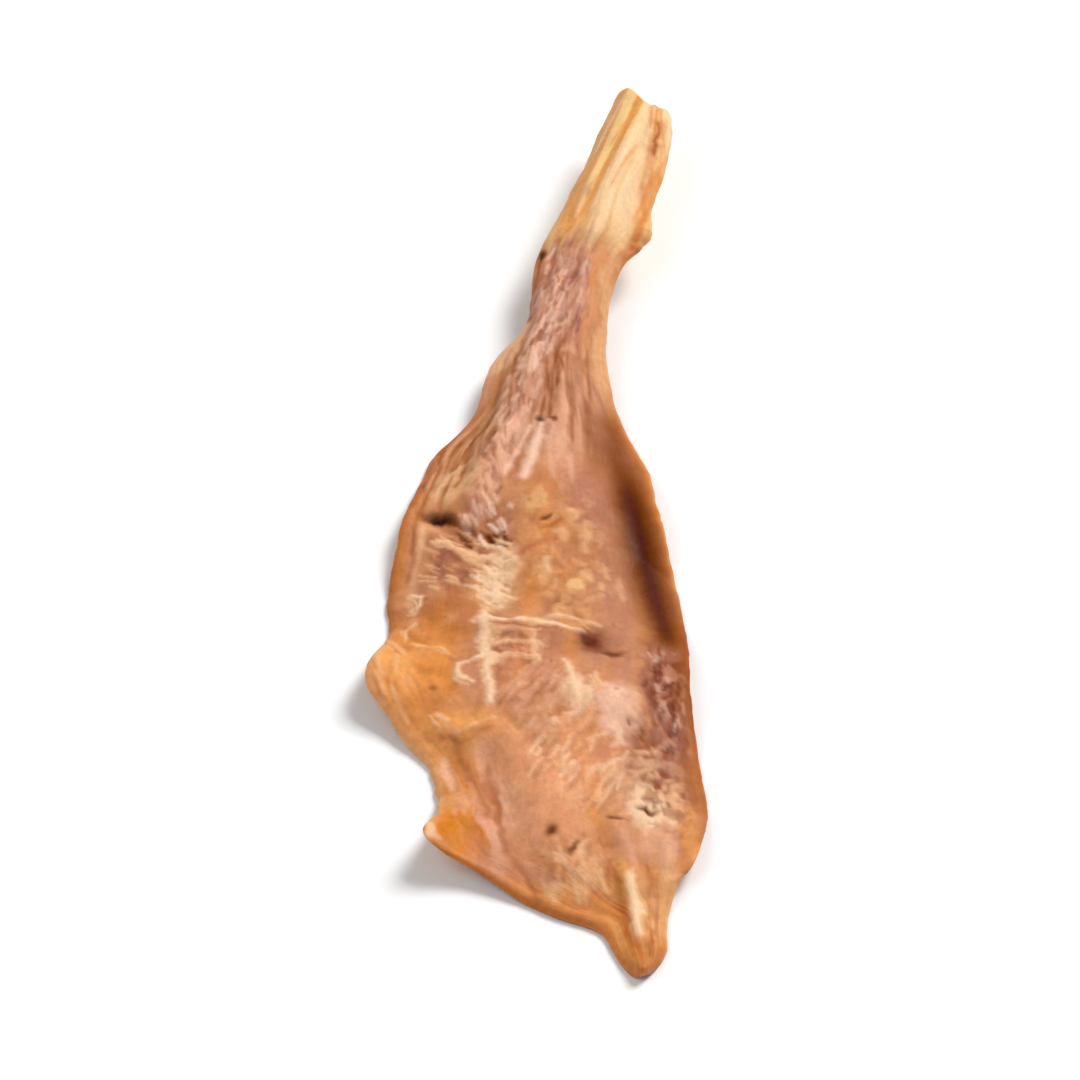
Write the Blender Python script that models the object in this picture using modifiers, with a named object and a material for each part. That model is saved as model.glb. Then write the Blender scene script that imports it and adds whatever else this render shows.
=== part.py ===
# A dried beef tendon chew: a flat cord, cut square at one end, that fans out into a thin wavy blade.
# The blade ends in a blunt point and lies on the table; the cord curls up off it.
# +Y runs along the strip towards the cut end, +X to its right, +Z up, with the table at Z = 0.
# Sizes are in millimetres and become metres where the mesh is made.

import bpy
import numpy as np

MM = 0.001

# The outline from the cut end to the tip. Each row gives the left rim's x and y, then the right rim's.
OUTLINE = {
    "cut end": (8.5, 60.1, 14.3, 56.8),
    "below the cut": (6.9, 55.8, 14.1, 53.0),
    "cord": (4.7, 49.1, 13.3, 48.3),
    "cord's root": (2.6, 43.7, 12.1, 43.9),
    "scrap on the rim": (1.0, 39.7, 11.7, 39.3),
    "above the neck": (0.0, 36.9, 9.5, 36.5),
    "neck": (-0.7, 31.1, 7.6, 31.1),
    "below the neck": (-1.4, 27.8, 7.2, 26.8),
    "left wing": (-4.2, 24.1, 7.2, 23.4),
    "shoulder": (-7.2, 15.4, 9.3, 14.6),
    "low shoulder": (-10.4, 12.1, 11.1, 10.4),
    "top of the blade": (-12.2, 7.0, 12.1, 3.7),
    "blade": (-14.3, -2.7, 13.3, -2.7),
    "widest": (-15.2, -9.4, 14.5, -9.4),
    "above the lobe": (-14.9, -13.2, 15.1, -14.7),
    "left lobe": (-16.8, -24.0, 15.4, -23.7),
    "below the lobe": (-14.5, -27.0, 15.7, -27.4),
    "notch": (-10.3, -33.8, 16.6, -34.9),
    "low notch": (-9.7, -39.9, 16.8, -38.3),
    "left corner": (-10.8, -45.4, 16.4, -42.5),
    "hem": (-6.0, -47.4, 15.5, -46.2),
    "low hem": (1.4, -51.9, 13.9, -48.8),
    "root of the tip": (5.9, -54.0, 13.1, -50.9),
    "waist of the tip": (7.3, -56.5, 12.7, -53.8),
    "tip": (8.4, -58.7, 12.6, -56.6),
    "end of the tip": (9.3, -60.1, 11.5, -59.2),
}
CUT_END_DIP = 2.1  # how far the cut end is drawn in
DIP_PLACE = 0.52  # where across the end that is deepest, and how wide it is, as shares of the width
DIP_SPREAD = 0.23
DIP_ZONE = (52.0, 57.5)  # along Y, from where it is nothing to where it is whole
TIP_ROUND = 0.7  # how far the middle of the tip stands out
TIP_ZONE = (-55.0, -59.5)

# Heights above the table
CORD_LIFT = 5.4  # the cord's rims above the blade's
LIFT_ZONE = (7.0, 42.0)  # along Y, from where the strip leaves the table to where the cord runs level
END_CURL = 0.07  # further rise for each millimetre past there
BLADE_CROWN = 2.4  # the middle of the blade above its rims
CORD_CROWN = 0.7
TIP_CROWN = 1.0
CROWN_POWER = 1.1  # the higher, the flatter the crown starts at the rims
BLADE_ZONE = (34.0, 6.0)  # along Y, from the cord's crown to the blade's
END_ZONE = (-34.0, -54.0)  # along Y, from the blade's crown to the tip's
LEFT_RUFFLE = 2.2  # the waves in the left rim: height, length, and a crest's place along Y
LEFT_WAVE = 22.0
LEFT_CREST = 0.0
RIGHT_RUFFLE = 2.0
RIGHT_WAVE = 25.0
RIGHT_CREST = 3.0
RUFFLE_REACH = 4.6  # how fast the rims' waves die out towards the middle
RUFFLES_START = (26.0, 14.0)  # along Y, from no waves to whole ones, and the same towards the tip
RUFFLES_END = (-54.0, -46.0)
SWAY = 0.5  # the whole blade rises and falls by this along its length
SWAY_LENGTH = 38.0

# Thickness in the middle, and at the rims
CORD_THICKNESS = 4.2
NECK_THICKNESS = 3.4
BLADE_THICKNESS = 2.1
TIP_THICKNESS = 1.1
RIM_THICKNESS = 0.6
THICKNESS_POWER = 0.85  # below 1 the strip thickens fast from its rims
NECK_ZONE = (10.0, 30.0)  # along Y, from the blade's thickness to the neck's
CORD_ZONE = (30.0, 44.0)  # along Y, from the neck's thickness to the cord's
THIN_ZONE = (-42.0, -56.0)  # along Y, from the blade's thickness to the tip's

# Folds of the whole sheet: two ends, the bell's half width across the line, and its height
FOLDS = {
    "hollow below the neck": ((-5.0, -1.0), (-3.6, -9.0), 3.6, -0.9),
    "trough by the right rim": ((8.9, 9.0), (11.6, -11.0), 2.5, -1.1),
    "pad in the right": ((2.6, -23.4), (8.6, -26.4), 2.8, 0.6),
    "fold to the hem": ((-4.2, -33.5), (0.4, -52.0), 1.4, -0.4),
    "ridge beside the fold": ((-1.4, -32.0), (4.0, -50.0), 2.0, 0.25),
    "ridge to the tip": ((8.0, -42.0), (9.8, -55.0), 1.3, 0.5),
}
# Ropes, beads and creases of the upper face alone, in the same form
RELIEF = {
    "rope down the neck": ((1.6, 31.0), (-6.6, 3.0), 1.6, 1.2),
    "second rope": ((5.8, 34.0), (2.8, 19.0), 1.2, 0.6),
    "cord's left bead": ((9.6, 60.0), (2.4, 38.0), 1.3, 0.5),
    "cord's middle bead": ((11.4, 58.0), (6.0, 38.0), 1.1, 0.4),
    "cord's groove": ((12.7, 57.0), (9.4, 38.0), 0.9, -0.9),
    "crease at the left": ((-11.6, 1.2), (-7.6, -1.8), 1.1, -0.6),
    "cross cord": ((-4.6, -15.0), (4.2, -16.0), 1.1, 0.4),
    "ledge": ((-10.0, -28.0), (-3.0, -30.4), 1.2, 0.4),
}
# Rims that curl up: centre, radius and height
CURLS = {
    "left lobe": ((-16.6, -21.6), 4.6, 1.4),
    "left corner": ((-11.2, -44.6), 4.0, 2.3),
    "right rim": ((13.4, 0.0), 7.0, 1.0),
}

LENGTH_CELLS = 84
CROSS_CELLS = 28


def level_step(low, high, value):
    """Rises from 0 at low to 1 at high, level at both ends."""
    share = np.clip((value - low) / (high - low), 0.0, 1.0)
    return share * share * (3.0 - 2.0 * share)


def hill(value, centre, spread):
    """A bell of height 1 at its centre."""
    return np.exp(-(((value - centre) / spread) ** 2))


def curve_through(knots, values, at):
    """Passes cubic pieces through the values, each knot sloping as the line between its neighbours."""
    slopes = np.gradient(values, knots)
    piece = np.clip(np.searchsorted(knots, at, side="right") - 1, 0, len(knots) - 2)
    span = knots[piece + 1] - knots[piece]
    u = (at - knots[piece]) / span
    start = values[piece] * (1 + 2 * u) * (1 - u) ** 2
    start_slope = slopes[piece] * span * u * (1 - u) ** 2
    end = values[piece + 1] * u**2 * (3 - 2 * u)
    end_slope = slopes[piece + 1] * span * u**2 * (u - 1)
    return start + start_slope + end + end_slope


def fold(x, y, start, end, spread):
    """A bell across the line from start to end, fading past its ends."""
    start = np.array(start)
    run = np.array(end) - start
    length = np.hypot(*run)
    along = ((x - start[0]) * run[0] + (y - start[1]) * run[1]) / length
    off_end = np.maximum(np.maximum(-along, along - length), 0.0)
    aside = ((x - start[0]) * run[1] - (y - start[1]) * run[0]) / length
    return np.exp(-(aside**2 + off_end**2) / spread**2)


def rims(along):
    """The left and right rims at shares of the length, 0 at the cut end and 1 at the tip."""
    rows = np.array(list(OUTLINE.values()))
    middle = (rows[:, :2] + rows[:, 2:]) / 2
    steps = np.hypot(*np.diff(middle, axis=0).T)
    knots = np.concatenate(([0.0], np.cumsum(steps)))
    at = along * knots[-1]
    left_x, left_y, right_x, right_y = (curve_through(knots, column, at) for column in rows.T)
    return left_x, left_y, right_x, right_y


def relief(table, x, y):
    """The sum of a table's folds."""
    return sum(rise * fold(x, y, start, end, spread) for start, end, spread, rise in table.values())


def middle_height(x, y, across, width):
    """Height of the strip's middle surface before it settles on the table."""
    bow = 1 - (2 * across - 1) ** 2
    to_left = across * width
    to_right = (1 - across) * width
    lift = CORD_LIFT * level_step(*LIFT_ZONE, y) + END_CURL * np.maximum(y - LIFT_ZONE[1], 0)
    crown = CORD_CROWN + (BLADE_CROWN - CORD_CROWN) * level_step(*BLADE_ZONE, y)
    crown = crown + (TIP_CROWN - BLADE_CROWN) * level_step(*END_ZONE, y)
    left_wave = 0.5 + 0.5 * np.cos(2 * np.pi * (y - LEFT_CREST) / LEFT_WAVE)
    right_wave = 0.5 + 0.5 * np.cos(2 * np.pi * (y - RIGHT_CREST) / RIGHT_WAVE)
    on_blade = level_step(*RUFFLES_START, y) * level_step(*RUFFLES_END, y)
    height = lift + crown * bow**CROWN_POWER + SWAY * bow * np.sin(2 * np.pi * y / SWAY_LENGTH)
    height = height + LEFT_RUFFLE * left_wave * on_blade * np.exp(-to_left / RUFFLE_REACH)
    height = height + RIGHT_RUFFLE * right_wave * on_blade * np.exp(-to_right / RUFFLE_REACH)
    height = height + relief(FOLDS, x, y)
    for (centre_x, centre_y), radius, rise in CURLS.values():
        height = height + rise * hill(np.hypot(x - centre_x, y - centre_y), 0.0, radius)
    return height


def thickness(y, across):
    """The strip's thickness: a lens in the cord, a plate with thin rims in the blade."""
    middle = BLADE_THICKNESS + (NECK_THICKNESS - BLADE_THICKNESS) * level_step(*NECK_ZONE, y)
    middle = middle + (CORD_THICKNESS - NECK_THICKNESS) * level_step(*CORD_ZONE, y)
    middle = middle + (TIP_THICKNESS - BLADE_THICKNESS) * level_step(*THIN_ZONE, y)
    bow = 1 - (2 * across - 1) ** 2
    return RIM_THICKNESS + (middle - RIM_THICKNESS) * bow**THICKNESS_POWER


def strip_material():
    """Amber, half-glossy dried tendon."""
    material = bpy.data.materials.new("dried tendon")
    material.use_nodes = True
    shader = material.node_tree.nodes["Principled BSDF"]
    shader.inputs["Base Color"].default_value = (0.55, 0.24, 0.09, 1.0)
    shader.inputs["Roughness"].default_value = 0.45
    shader.inputs["Metallic"].default_value = 0.0
    return material


def flat_slab():
    """A unit slab: X across the strip, Y from its tip to its cut end, Z from its underside to its upper face."""
    bpy.ops.mesh.primitive_grid_add(x_subdivisions=CROSS_CELLS, y_subdivisions=LENGTH_CELLS, size=1.0)
    grid = bpy.context.active_object
    split = grid.modifiers.new("both faces split alike", "TRIANGULATE")
    split.quad_method = "FIXED"
    wall = grid.modifiers.new("wall", "SOLIDIFY")
    wall.thickness = 1.0
    wall.offset = 0.0
    finished = grid.evaluated_get(bpy.context.evaluated_depsgraph_get())
    mesh = bpy.data.meshes.new_from_object(finished)
    bpy.data.objects.remove(grid)
    return mesh


def shape_slab(mesh):
    """Bends the slab into the strip and lays it on the table."""
    corners = np.empty(len(mesh.vertices) * 3)
    mesh.vertices.foreach_get("co", corners)
    across, from_tip, upper = corners.reshape(-1, 3).T + 0.5
    left_x, left_y, right_x, right_y = rims(1 - from_tip)
    x = left_x + across * (right_x - left_x)
    y = left_y + across * (right_y - left_y)
    bow = 1 - (2 * across - 1) ** 2
    y = y - CUT_END_DIP * hill(across, DIP_PLACE, DIP_SPREAD) * level_step(*DIP_ZONE, y)
    y = y - TIP_ROUND * bow * level_step(*TIP_ZONE, y)
    width = np.hypot(right_x - left_x, right_y - left_y)
    thick = thickness(y, across)
    underside = np.maximum(middle_height(x, y, across, width) - thick / 2, 0.0)
    z = underside + upper * (thick + relief(RELIEF, x, y))
    mesh.vertices.foreach_set("co", (np.column_stack((x, y, z)) * MM).ravel())
    mesh.update()


def make_tendon(collection):
    """The whole chew, one solid."""
    mesh = flat_slab()
    mesh.name = "tendon"
    shape_slab(mesh)
    mesh.shade_smooth()
    mesh.materials.append(strip_material())
    tendon = bpy.data.objects.new("tendon", mesh)
    collection.objects.link(tendon)
    return tendon


def main():
    """Clears the scene and builds the chew in its own collection."""
    for old in list(bpy.data.objects):
        bpy.data.objects.remove(old)
    collection = bpy.data.collections.new("beef tendon")
    bpy.context.scene.collection.children.link(collection)
    make_tendon(collection)


main()
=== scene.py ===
# Dried beef tendon chew: a flat cord that fans out into a thin wavy blade, on a pale floor under soft light.
# Shapes are worked out in millimetres and put into the meshes in metres.
# +Y runs along the strip towards the cut end of the cord, +X to its right, +Z up.

import math
import bpy
import numpy as np
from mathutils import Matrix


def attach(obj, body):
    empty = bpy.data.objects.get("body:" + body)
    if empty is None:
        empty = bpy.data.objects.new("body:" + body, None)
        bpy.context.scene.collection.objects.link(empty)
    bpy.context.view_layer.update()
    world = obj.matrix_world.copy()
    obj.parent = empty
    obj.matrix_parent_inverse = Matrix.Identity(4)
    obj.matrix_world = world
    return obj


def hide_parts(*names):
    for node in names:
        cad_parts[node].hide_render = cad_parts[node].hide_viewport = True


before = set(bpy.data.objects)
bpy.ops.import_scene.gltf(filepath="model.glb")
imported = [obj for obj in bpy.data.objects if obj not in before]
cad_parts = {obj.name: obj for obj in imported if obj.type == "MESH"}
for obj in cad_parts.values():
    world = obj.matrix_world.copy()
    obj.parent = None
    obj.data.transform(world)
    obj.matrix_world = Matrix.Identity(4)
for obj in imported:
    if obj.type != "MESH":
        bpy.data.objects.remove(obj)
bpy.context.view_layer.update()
mm = 0.001


# The strip's form, as the CAD solid has it

strip = {
    # each row of the outline: left rim x and y, then right rim x and y, from the cut end to the tip
    "outline": {
        "cut end": (8.5, 60.1, 14.3, 56.8),
        "below the cut": (6.9, 55.8, 14.1, 53.0),
        "cord": (4.7, 49.1, 13.3, 48.3),
        "cord's root": (2.6, 43.7, 12.1, 43.9),
        "scrap on the rim": (1.0, 39.7, 11.7, 39.3),
        "above the neck": (0.0, 36.9, 9.5, 36.5),
        "neck": (-0.7, 31.1, 7.6, 31.1),
        "below the neck": (-1.4, 27.8, 7.2, 26.8),
        "left wing": (-4.2, 24.1, 7.2, 23.4),
        "shoulder": (-7.2, 15.4, 9.3, 14.6),
        "low shoulder": (-10.4, 12.1, 11.1, 10.4),
        "top of the blade": (-12.2, 7.0, 12.1, 3.7),
        "blade": (-14.3, -2.7, 13.3, -2.7),
        "widest": (-15.2, -9.4, 14.5, -9.4),
        "above the lobe": (-14.9, -13.2, 15.1, -14.7),
        "left lobe": (-16.8, -24.0, 15.4, -23.7),
        "below the lobe": (-14.5, -27.0, 15.7, -27.4),
        "notch": (-10.3, -33.8, 16.6, -34.9),
        "low notch": (-9.7, -39.9, 16.8, -38.3),
        "left corner": (-10.8, -45.4, 16.4, -42.5),
        "hem": (-6.0, -47.4, 15.5, -46.2),
        "low hem": (1.4, -51.9, 13.9, -48.8),
        "root of the tip": (5.9, -54.0, 13.1, -50.9),
        "waist of the tip": (7.3, -56.5, 12.7, -53.8),
        "tip": (8.4, -58.7, 12.6, -56.6),
        "end of the tip": (9.3, -60.1, 11.5, -59.2),
    },
    "cutEndDip": 2.1, "dipPlace": 0.52, "dipSpread": 0.23, "dipZone": (52.0, 57.5),
    "tipRound": 0.7, "tipZone": (-55.0, -59.5),
    # heights above the table; each zone is a stretch of Y from where a thing is nothing to where it is whole
    "cordLift": 5.4, "liftZone": (7.0, 42.0), "endCurl": 0.07,
    "bladeCrown": 2.4, "cordCrown": 0.7, "tipCrown": 1.0, "crownPower": 1.1,
    "bladeZone": (34.0, 6.0), "endZone": (-34.0, -54.0),
    "leftRuffle": 2.2, "leftWave": 22.0, "leftCrest": 0.0,
    "rightRuffle": 2.0, "rightWave": 25.0, "rightCrest": 3.0,
    "ruffleReach": 4.6, "rufflesStart": (26.0, 14.0), "rufflesEnd": (-54.0, -46.0),
    "sway": 0.5, "swayLength": 38.0,
    "cordThickness": 4.2, "neckThickness": 3.4, "bladeThickness": 2.1, "tipThickness": 1.1,
    "rimThickness": 0.6, "thicknessPower": 0.85,
    "neckZone": (10.0, 30.0), "cordZone": (30.0, 44.0), "thinZone": (-42.0, -56.0),
    # folds of the whole sheet, then ropes and creases of the upper face: two ends, half width and height
    "folds": {
        "hollow below the neck": ((-5.0, -1.0), (-3.6, -9.0), 3.6, -0.9),
        "trough by the right rim": ((8.9, 9.0), (11.6, -11.0), 2.5, -1.1),
        "pad in the right": ((2.6, -23.4), (8.6, -26.4), 2.8, 0.6),
        "fold to the hem": ((-4.2, -33.5), (0.4, -52.0), 1.4, -0.4),
        "ridge beside the fold": ((-1.4, -32.0), (4.0, -50.0), 2.0, 0.25),
        "ridge to the tip": ((8.0, -42.0), (9.8, -55.0), 1.3, 0.5),
    },
    "relief": {
        "rope down the neck": ((1.6, 31.0), (-6.6, 3.0), 1.6, 1.2),
        "second rope": ((5.8, 34.0), (2.8, 19.0), 1.2, 0.6),
        "cord's left bead": ((9.6, 60.0), (2.4, 38.0), 1.3, 0.5),
        "cord's middle bead": ((11.4, 58.0), (6.0, 38.0), 1.1, 0.4),
        "cord's groove": ((12.7, 57.0), (9.4, 38.0), 0.9, -0.9),
        "crease at the left": ((-11.6, 1.2), (-7.6, -1.8), 1.1, -0.6),
        "cross cord": ((-4.6, -15.0), (4.2, -16.0), 1.1, 0.4),
        "ledge": ((-10.0, -28.0), (-3.0, -30.4), 1.2, 0.4),
    },
    # rims that curl up: centre, radius and height
    "curls": {
        "left lobe": ((-16.6, -21.6), 4.6, 1.4),
        "left corner": ((-11.2, -44.6), 4.0, 2.3),
        "right rim": ((13.4, 0.0), 7.0, 1.0),
    },
}


def levelStep(low, high, value):
    # rises from 0 at low to 1 at high: 3 share squared less 2 share cubed, level at both ends
    share = np.clip((value - low) / (high - low), 0.0, 1.0)
    return share * share * (3.0 - 2.0 * share)


def between(begins, ends, value):
    # rises over one stretch and falls over the other
    return levelStep(*begins, value) * levelStep(*ends, value)


def hill(value, centre, spread):
    # a bell: e to the minus square of the distance from the centre in spreads
    return np.exp(-(((value - centre) / spread) ** 2))


def curveThrough(knots, values, at):
    # cubic pieces through the values; each knot slopes as the line between its neighbours
    slopes = np.gradient(values, knots)
    piece = np.clip(np.searchsorted(knots, at, side="right") - 1, 0, len(knots) - 2)
    span = knots[piece + 1] - knots[piece]
    u = (at - knots[piece]) / span
    start = values[piece] * (1 + 2 * u) * (1 - u) ** 2
    startSlope = slopes[piece] * span * u * (1 - u) ** 2
    end = values[piece + 1] * u**2 * (3 - 2 * u)
    endSlope = slopes[piece + 1] * span * u**2 * (u - 1)
    return start + startSlope + end + endSlope


def acrossLine(x, y, start, end):
    # distance along a line from its start, aside from it, and past either of its ends
    start = np.array(start)
    run = np.array(end) - start
    length = np.hypot(*run)
    along = ((x - start[0]) * run[0] + (y - start[1]) * run[1]) / length
    aside = ((x - start[0]) * run[1] - (y - start[1]) * run[0]) / length
    pastEnd = np.maximum(np.maximum(-along, along - length), 0.0)
    return along, aside, pastEnd


def fold(x, y, start, end, spread):
    # a bell across the line, fading past its ends
    _, aside, pastEnd = acrossLine(x, y, start, end)
    return np.exp(-(aside**2 + pastEnd**2) / spread**2)


def sumOfFolds(table, x, y):
    return sum(rise * fold(x, y, start, end, spread) for start, end, spread, rise in table.values())


def rimsAt(along):
    # the outline's rows joined by curves, at shares of the length from the cut end to the tip
    rows = np.array(list(strip["outline"].values()))
    middle = (rows[:, :2] + rows[:, 2:]) / 2
    knots = np.concatenate(([0.0], np.cumsum(np.hypot(*np.diff(middle, axis=0).T))))
    return [curveThrough(knots, column, along * knots[-1]) for column in rows.T], knots[-1]


def middleHeight(x, y, across, width):
    # height of the middle surface: the cord's lift, the crown, the rims' waves, the folds and the curls
    s = strip
    bow = 1 - (2 * across - 1) ** 2
    lift = s["cordLift"] * levelStep(*s["liftZone"], y) + s["endCurl"] * np.maximum(y - s["liftZone"][1], 0)
    crown = s["cordCrown"] + (s["bladeCrown"] - s["cordCrown"]) * levelStep(*s["bladeZone"], y)
    crown = crown + (s["tipCrown"] - s["bladeCrown"]) * levelStep(*s["endZone"], y)
    onBlade = between(s["rufflesStart"], s["rufflesEnd"], y)
    height = lift + crown * bow ** s["crownPower"] + s["sway"] * bow * np.sin(2 * np.pi * y / s["swayLength"])
    for side, fromRim in (("left", across * width), ("right", (1 - across) * width)):
        wave = 0.5 + 0.5 * np.cos(2 * np.pi * (y - s[side + "Crest"]) / s[side + "Wave"])
        height = height + s[side + "Ruffle"] * wave * onBlade * np.exp(-fromRim / s["ruffleReach"])
    height = height + sumOfFolds(s["folds"], x, y)
    for (centreX, centreY), radius, rise in s["curls"].values():
        height = height + rise * hill(np.hypot(x - centreX, y - centreY), 0.0, radius)
    return height


def thicknessAt(y, across):
    # a lens in the cord, a plate with thin rims in the blade
    s = strip
    middle = s["bladeThickness"] + (s["neckThickness"] - s["bladeThickness"]) * levelStep(*s["neckZone"], y)
    middle = middle + (s["cordThickness"] - s["neckThickness"]) * levelStep(*s["cordZone"], y)
    middle = middle + (s["tipThickness"] - s["bladeThickness"]) * levelStep(*s["thinZone"], y)
    bow = 1 - (2 * across - 1) ** 2
    return s["rimThickness"] + (middle - s["rimThickness"]) * bow ** s["thicknessPower"]


# Noise, worked out on whole arrays

def softNoise(x, y, seed):
    # random heights from -1 to 1 on a unit lattice, joined by level steps both ways
    size = 256
    heights = np.random.default_rng(seed).uniform(-1.0, 1.0, (size, size))
    column, row = np.floor(x).astype(int), np.floor(y).astype(int)
    u, v = x - column, y - row
    u, v = u * u * (3 - 2 * u), v * v * (3 - 2 * v)
    column0, column1, row0, row1 = column % size, (column + 1) % size, row % size, (row + 1) % size
    low = heights[row0, column0] * (1 - u) + heights[row0, column1] * u
    high = heights[row1, column0] * (1 - u) + heights[row1, column1] * u
    return low * (1 - v) + high * v


def layeredNoise(x, y, seed, layers=3):
    # layers of soft noise, each twice as fine and half as high, scaled back to about -1 to 1
    total = 0.0
    for layer in range(layers):
        fine = 2**layer
        total = total + softNoise(x * fine + 17.3 * layer, y * fine - 9.1 * layer, seed + layer) / fine
    return total / (2 - 0.5 ** (layers - 1))


print("stage: form ready")


# The strip's own surface: rings of points carried along the strip, closed by a point at each end

surface = {
    "stations": 470, "tipStations": 14, "capRings": 12,
    "topColumns": 168, "undersideColumns": 32,
    "rimCrowding": 0.35,  # share by which the columns crowd towards the rims
    "tipReach": 1.3,  # the last stretch, drawn in to a round tip
    # ragged rims: heights, then length of the waves and seed, then where the lobe and the scrap begin and end
    "raggedRim": 0.16, "raggedLobe": 0.3, "raggedScrap": 0.35,
    "leftWaves": (1.9, 11), "rightWaves": (2.3, 12), "scrapWaves": (0.7, 13),
    "lobeZones": ((-22.0, -27.0), (-44.0, -40.0)), "scrapZones": ((36.0, 38.0), (43.0, 41.0)),
    # stretches in which relief fades in from a rim and from the floor, and the most that the underside sinks
    "rimFade": (0.0, 0.6), "floorFade": (0.0, 1.0), "undersideLimit": 0.3,
    # the cut face: powers by which its rings and colours run inwards; share, size and seed of its noises
    "capRun": 0.8, "colourRun": 3, "capRags": (0.35, 0.5, 91), "capMottle": (0.35, 0.45, 92),
    "fibreCount": 30.0,  # from rim to rim
    # in the cord fibres run nearly straight: along what, from where, how much, and how many to a millimetre
    "cordAxis": ((11.4, 58.5), (4.8, 36.7)), "straightZone": (33.0, 41.0), "straight": 0.8, "density": 3.1,
    "latticeTurn": 37,  # degrees by which the noises' lattices are turned, so that no row of them shows
}


def meshFrom(name, points, quads, triangles):
    # points in millimetres, faces as whole arrays of corner numbers
    mesh = bpy.data.meshes.new(name)
    corners = np.concatenate((quads.ravel(), triangles.ravel()))
    sizes = np.concatenate((np.full(len(quads), 4), np.full(len(triangles), 3)))
    mesh.vertices.add(len(points))
    mesh.vertices.foreach_set("co", (points * mm).astype(np.float32).ravel())
    mesh.loops.add(len(corners))
    mesh.loops.foreach_set("vertex_index", corners.astype(np.int32))
    mesh.polygons.add(len(sizes))
    mesh.polygons.foreach_set("loop_start", (np.cumsum(sizes) - sizes).astype(np.int32))
    mesh.update(calc_edges=True)
    mesh.validate()
    mesh.shade_smooth()
    made = bpy.data.objects.new(name, mesh)
    bpy.context.scene.collection.objects.link(made)
    return made


def closedTube(rows, ringSize):
    # corner numbers of a tube of rings whose first and last rings each close on one more point
    ring = np.arange(ringSize)
    following = (ring + 1) % ringSize
    first = np.arange(rows - 1)[:, None] * ringSize
    after = first + ringSize
    quads = np.stack((first + ring, after + ring, after + following, first + following), axis=-1)
    startPole, endPole = rows * ringSize, rows * ringSize + 1
    last = (rows - 1) * ringSize
    startFan = np.column_stack((np.full(ringSize, startPole), ring, following))
    endFan = np.column_stack((last + ring, np.full(ringSize, endPole), last + following))
    return quads.reshape(-1, 4), np.concatenate((startFan, endFan))


def addVectors(made, name, kind, values):
    # a vector or a colour for each point, which the materials read by name
    layer = made.data.attributes.new(name, kind, "POINT")
    layer.data.foreach_set("vector" if kind == "FLOAT_VECTOR" else "color", values.astype(np.float32).ravel())


def stripGrid():
    # for each point of the rings: share along the strip, what the round tip leaves of the width, share across
    g = surface
    tipShare = 1 - g["tipReach"] / rimsAt(np.array([0.0]))[1]
    turn = np.linspace(0, np.pi / 2, g["tipStations"] + 1)[:-1]
    even = np.linspace(0, tipShare, g["stations"] - g["tipStations"], endpoint=False)
    along = np.concatenate((even, tipShare + (1 - tipShare) * np.sin(turn)))
    narrowing = np.concatenate((np.ones(len(even)), np.cos(turn)))

    def crowded(share):
        return (1 - g["rimCrowding"]) * share + g["rimCrowding"] * (0.5 - 0.5 * np.cos(np.pi * share))

    top = crowded(np.linspace(0, 1, g["topColumns"]))
    under = crowded(np.linspace(1, 0, g["undersideColumns"] + 2)[1:-1])
    across = np.concatenate((top, under))
    blank = np.zeros((len(along), len(across)))
    return [part + blank for part in (along[:, None], narrowing[:, None], across)]


def stripPlan(along, narrowing, across):
    # x and y: a straight step between the ragged rims; the cut end is drawn in and the tip pushed out
    g, s = surface, strip
    (leftX, leftY, rightX, rightY), length = rimsAt(along)
    lengthwise = along * length

    def waves(kind):
        waveLength, seed = g[kind]
        return layeredNoise(lengthwise / waveLength, 0.5 + 0 * lengthwise, seed)

    ragged = g["raggedRim"] + g["raggedLobe"] * between(*g["lobeZones"], leftY)
    leftX = leftX + ragged * waves("leftWaves")
    rightX = rightX + g["raggedRim"] * waves("rightWaves")
    rightX = rightX + g["raggedScrap"] * between(*g["scrapZones"], rightY) * waves("scrapWaves")
    share = 0.5 + (across - 0.5) * narrowing
    x = leftX + share * (rightX - leftX)
    y = leftY + share * (rightY - leftY)
    bow = 1 - (2 * share - 1) ** 2
    y = y - s["cutEndDip"] * hill(share, s["dipPlace"], s["dipSpread"]) * levelStep(*s["dipZone"], y)
    y = y - s["tipRound"] * bow * levelStep(*s["tipZone"], y)
    return x, y, share, np.hypot(rightX - leftX, rightY - leftY), lengthwise


# What the skin of the strip carries. Places are x and y in millimetres, turns are in degrees, and an area
# is its centre's x and y, its half sizes across and along, and its turn.

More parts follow.
